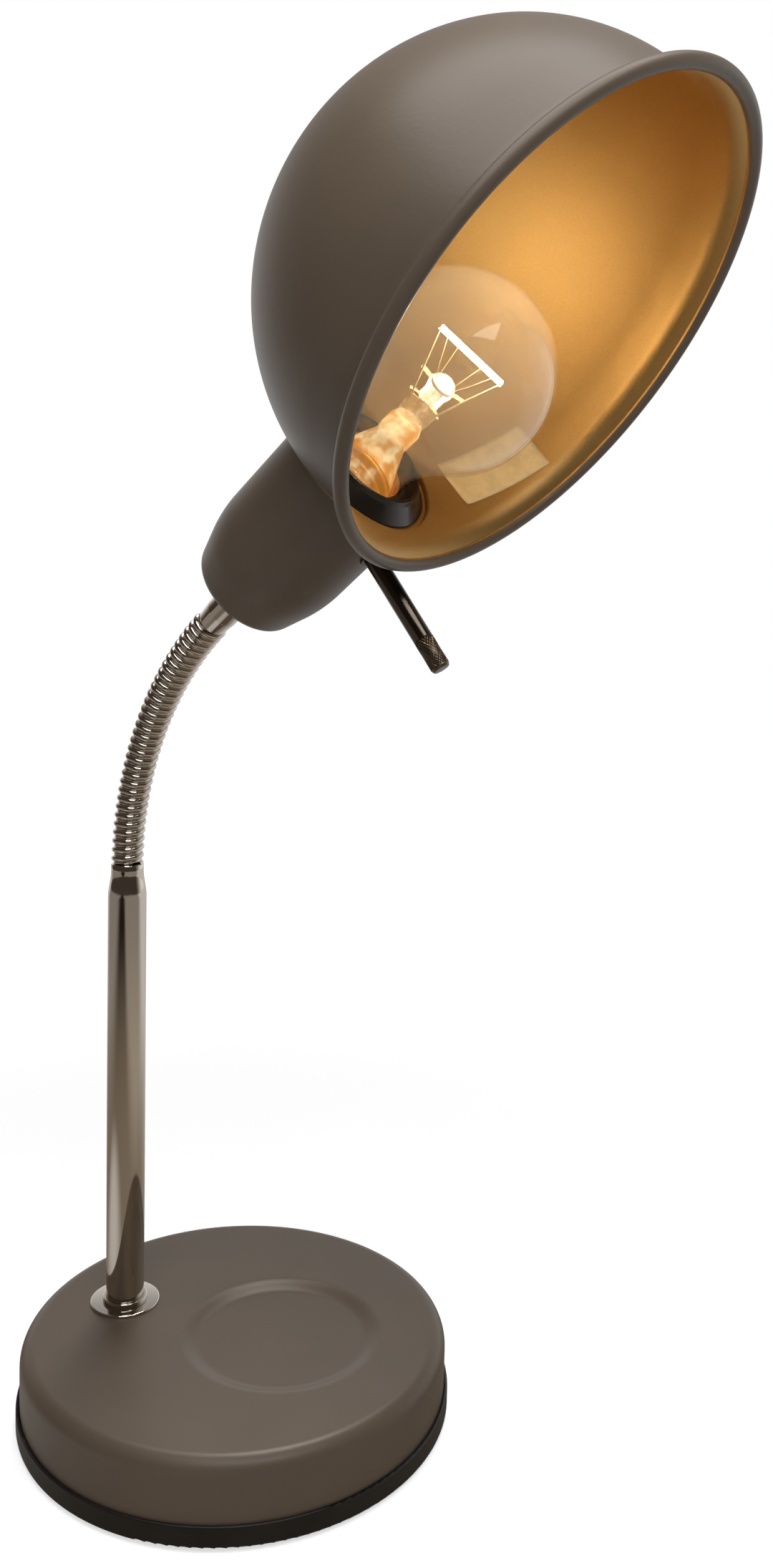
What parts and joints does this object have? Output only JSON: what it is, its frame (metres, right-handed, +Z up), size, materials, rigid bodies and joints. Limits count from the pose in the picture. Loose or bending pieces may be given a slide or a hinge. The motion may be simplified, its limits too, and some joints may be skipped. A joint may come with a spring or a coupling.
{
  "type": "gooseneck desk lamp",
  "caption": "Desk lamp with a round weighted base, a straight stem, a bendable gooseneck, a cup with a rotary switch rod, and a domed shade around a clear screw-in bulb.",
  "frame": {"origin": "centre of the round base, on the table under its foot pad", "axes": "+Z up; +X towards the front, where the neck and shade lean; the stem stands behind the origin at -X"},
  "size_m": [0.2592, 0.2359, 0.4626],
  "materials": {
    "taupe_paint": "matt",
    "black_plastic": "satin",
    "black_bakelite": "gloss",
    "cast_iron": "rough",
    "foam": "matt",
    "zinc": "satin",
    "chrome": "polished",
    "brass": "satin",
    "white_plastic": "satin",
    "lead_sheath": "satin",
    "black_chrome": "polished",
    "glass": "clear",
    "tungsten": "glowing"
  },
  "bodies": {
    "base": {"base_cover": "taupe_paint", "bottom_tray": "black_plastic", "base_weight": "cast_iron", "foot_pad": "foam", "tray_screws": "zinc", "stem_flange": "chrome", "stem_collar": "chrome", "stem_tube": "chrome", "stem_bush": "brass", "base_nipple": "zinc", "base_washer": "zinc", "base_nut": "zinc", "neck_end_plug": "brass", "cord_gland": "black_plastic", "cord_clamp": "white_plastic", "clamp_screws": "zinc", "terminal_block": "white_plastic", "terminal_screws": "brass", "stem_lead": "lead_sheath", "neck_lead": "lead_sheath"},
    "link_01": {"neck_link_01": "chrome"},
    "link_02": {"neck_link_02": "chrome"},
    "link_03": {"neck_link_03": "chrome"},
    "link_04": {"neck_link_04": "chrome"},
    "link_05": {"neck_link_05": "chrome"},
    "link_06": {"neck_link_06": "chrome"},
    "link_07": {"neck_link_07": "chrome"},
    "link_08": {"neck_link_08": "chrome"},
    "link_09": {"neck_link_09": "chrome"},
    "link_10": {"neck_link_10": "chrome"},
    "link_11": {"neck_link_11": "chrome"},
    "link_12": {"neck_link_12": "chrome"},
    "link_13": {"neck_link_13": "chrome"},
    "link_14": {"neck_link_14": "chrome"},
    "link_15": {"neck_link_15": "chrome"},
    "link_16": {"neck_link_16": "chrome"},
    "head": {"ferrule": "chrome", "cup": "taupe_paint", "cup_nut": "zinc", "holder_base": "black_plastic", "contact_carrier": "white_plastic", "screw_shell": "brass", "centre_contact": "brass", "side_contact": "brass", "holder_screws": "brass", "holder_skirt": "black_bakelite", "clamp_washer": "zinc", "shade": "taupe_paint", "switch_case": "black_plastic", "rod_bush": "black_plastic", "head_lead": "lead_sheath"},
    "switch": {"switch_rod": "black_chrome", "switch_rotor": "white_plastic"},
    "bulb": {"bulb_glass": "glass", "bulb_cap": "brass", "tip_contact": "black_plastic", "glass_mount": "glass", "lead_wires": "zinc", "filament": "tungsten"}
  },
  "joints": [
    {"name": "neck_bend_01", "type": "hinge", "parent": "base", "child": "link_01", "pos_m": [-0.0483, 0, 0.2064], "axis": [0.4163, 0.9092, 0], "range_deg": [-9, 5.3], "deforming": ["neck_lead"]},
    {"name": "neck_side_01", "type": "hinge", "parent": "link_01", "child": "link_02", "pos_m": [-0.04796, -0.00016, 0.21312], "axis": [0.906, -0.4148, -0.0842], "range_deg": [-6.5, 6.5]},
    {"name": "neck_bend_02", "type": "hinge", "parent": "link_02", "child": "link_03", "pos_m": [-0.04727, -0.00047, 0.21981], "axis": [0.4163, 0.9092, 0], "range_deg": [-9, 5.3]},
    {"name": "neck_side_02", "type": "hinge", "parent": "link_03", "child": "link_04", "pos_m": [-0.04624, -0.00094, 0.22644], "axis": [0.8917, -0.4083, -0.1955], "range_deg": [-6.5, 6.5]},
    {"name": "neck_bend_03", "type": "hinge", "parent": "link_04", "child": "link_05", "pos_m": [-0.04488, -0.00157, 0.233], "axis": [0.4163, 0.9092, 0], "range_deg": [-9, 5.3]},
    {"name": "neck_side_03", "type": "hinge", "parent": "link_05", "child": "link_06", "pos_m": [-0.04318, -0.00234, 0.23947], "axis": [0.8661, -0.3965, -0.3043], "range_deg": [-6.5, 6.5]},
    {"name": "neck_bend_04", "type": "hinge", "parent": "link_06", "child": "link_07", "pos_m": [-0.04116, -0.00327, 0.24582], "axis": [0.4163, 0.9092, 0], "range_deg": [-9, 5.3]},
    {"name": "neck_side_04", "type": "hinge", "parent": "link_07", "child": "link_08", "pos_m": [-0.03881, -0.00434, 0.25203], "axis": [0.8296, -0.3798, -0.4092], "range_deg": [-6.5, 6.5]},
    {"name": "neck_bend_05", "type": "hinge", "parent": "link_08", "child": "link_09", "pos_m": [-0.03615, -0.00556, 0.2581], "axis": [0.4163, 0.9092, 0], "range_deg": [-9, 5.3]},
    {"name": "neck_side_05", "type": "hinge", "parent": "link_09", "child": "link_10", "pos_m": [-0.03319, -0.00692, 0.26398], "axis": [0.7827, -0.3583, -0.509], "range_deg": [-6.5, 6.5]},
    {"name": "neck_bend_06", "type": "hinge", "parent": "link_10", "child": "link_11", "pos_m": [-0.02992, -0.00841, 0.26968], "axis": [0.4163, 0.9092, 0], "range_deg": [-9, 5.3]},
    {"name": "neck_side_06", "type": "hinge", "parent": "link_11", "child": "link_12", "pos_m": [-0.02638, -0.01004, 0.27516], "axis": [0.7258, -0.3323, -0.6023], "range_deg": [-6.5, 6.5]},
    {"name": "neck_bend_07", "type": "hinge", "parent": "link_12", "child": "link_13", "pos_m": [-0.02256, -0.01179, 0.28042], "axis": [0.4163, 0.9092, 0], "range_deg": [-9, 5.3]},
    {"name": "neck_side_07", "type": "hinge", "parent": "link_13", "child": "link_14", "pos_m": [-0.01847, -0.01366, 0.28543], "axis": [0.6598, -0.3021, -0.6881], "range_deg": [-6.5, 6.5]},
    {"name": "neck_bend_08", "type": "hinge", "parent": "link_14", "child": "link_15", "pos_m": [-0.01414, -0.01564, 0.29018], "axis": [0.4163, 0.9092, 0], "range_deg": [-9, 5.3]},
    {"name": "neck_side_08", "type": "hinge", "parent": "link_15", "child": "link_16", "pos_m": [-0.00957, -0.01773, 0.29466], "axis": [0.5854, -0.268, -0.7651], "range_deg": [-6.5, 6.5]},
    {"name": "neck_bend_09", "type": "hinge", "parent": "link_16", "child": "head", "pos_m": [-0.00478, -0.01993, 0.29884], "axis": [0.4163, 0.9092, 0], "range_deg": [-9, 5.3]},
    {"name": "switch_turn", "type": "hinge", "parent": "head", "child": "switch", "pos_m": [0.07262, -0.04894, 0.30866], "axis": [0.5799, -0.1049, -0.8079], "continuous": true},
    {"name": "bulb_turn", "type": "hinge", "parent": "head", "child": "bulb", "pos_m": [0.05091, -0.04542, 0.34213], "axis": [0.7425, -0.34, 0.5771], "continuous": true}
  ],
  "couplings": [
    {"joint": "neck_bend_02", "follows": "neck_bend_01", "ratio": 1},
    {"joint": "neck_side_02", "follows": "neck_side_01", "ratio": 1},
    {"joint": "neck_bend_03", "follows": "neck_bend_01", "ratio": 1},
    {"joint": "neck_side_03", "follows": "neck_side_01", "ratio": 1},
    {"joint": "neck_bend_04", "follows": "neck_bend_01", "ratio": 1},
    {"joint": "neck_side_04", "follows": "neck_side_01", "ratio": 1},
    {"joint": "neck_bend_05", "follows": "neck_bend_01", "ratio": 1},
    {"joint": "neck_side_05", "follows": "neck_side_01", "ratio": 1},
    {"joint": "neck_bend_06", "follows": "neck_bend_01", "ratio": 1},
    {"joint": "neck_side_06", "follows": "neck_side_01", "ratio": 1},
    {"joint": "neck_bend_07", "follows": "neck_bend_01", "ratio": 1},
    {"joint": "neck_side_07", "follows": "neck_side_01", "ratio": 1},
    {"joint": "neck_bend_08", "follows": "neck_bend_01", "ratio": 1},
    {"joint": "neck_side_08", "follows": "neck_side_01", "ratio": 1},
    {"joint": "neck_bend_09", "follows": "neck_bend_01", "ratio": 1}
  ]
}
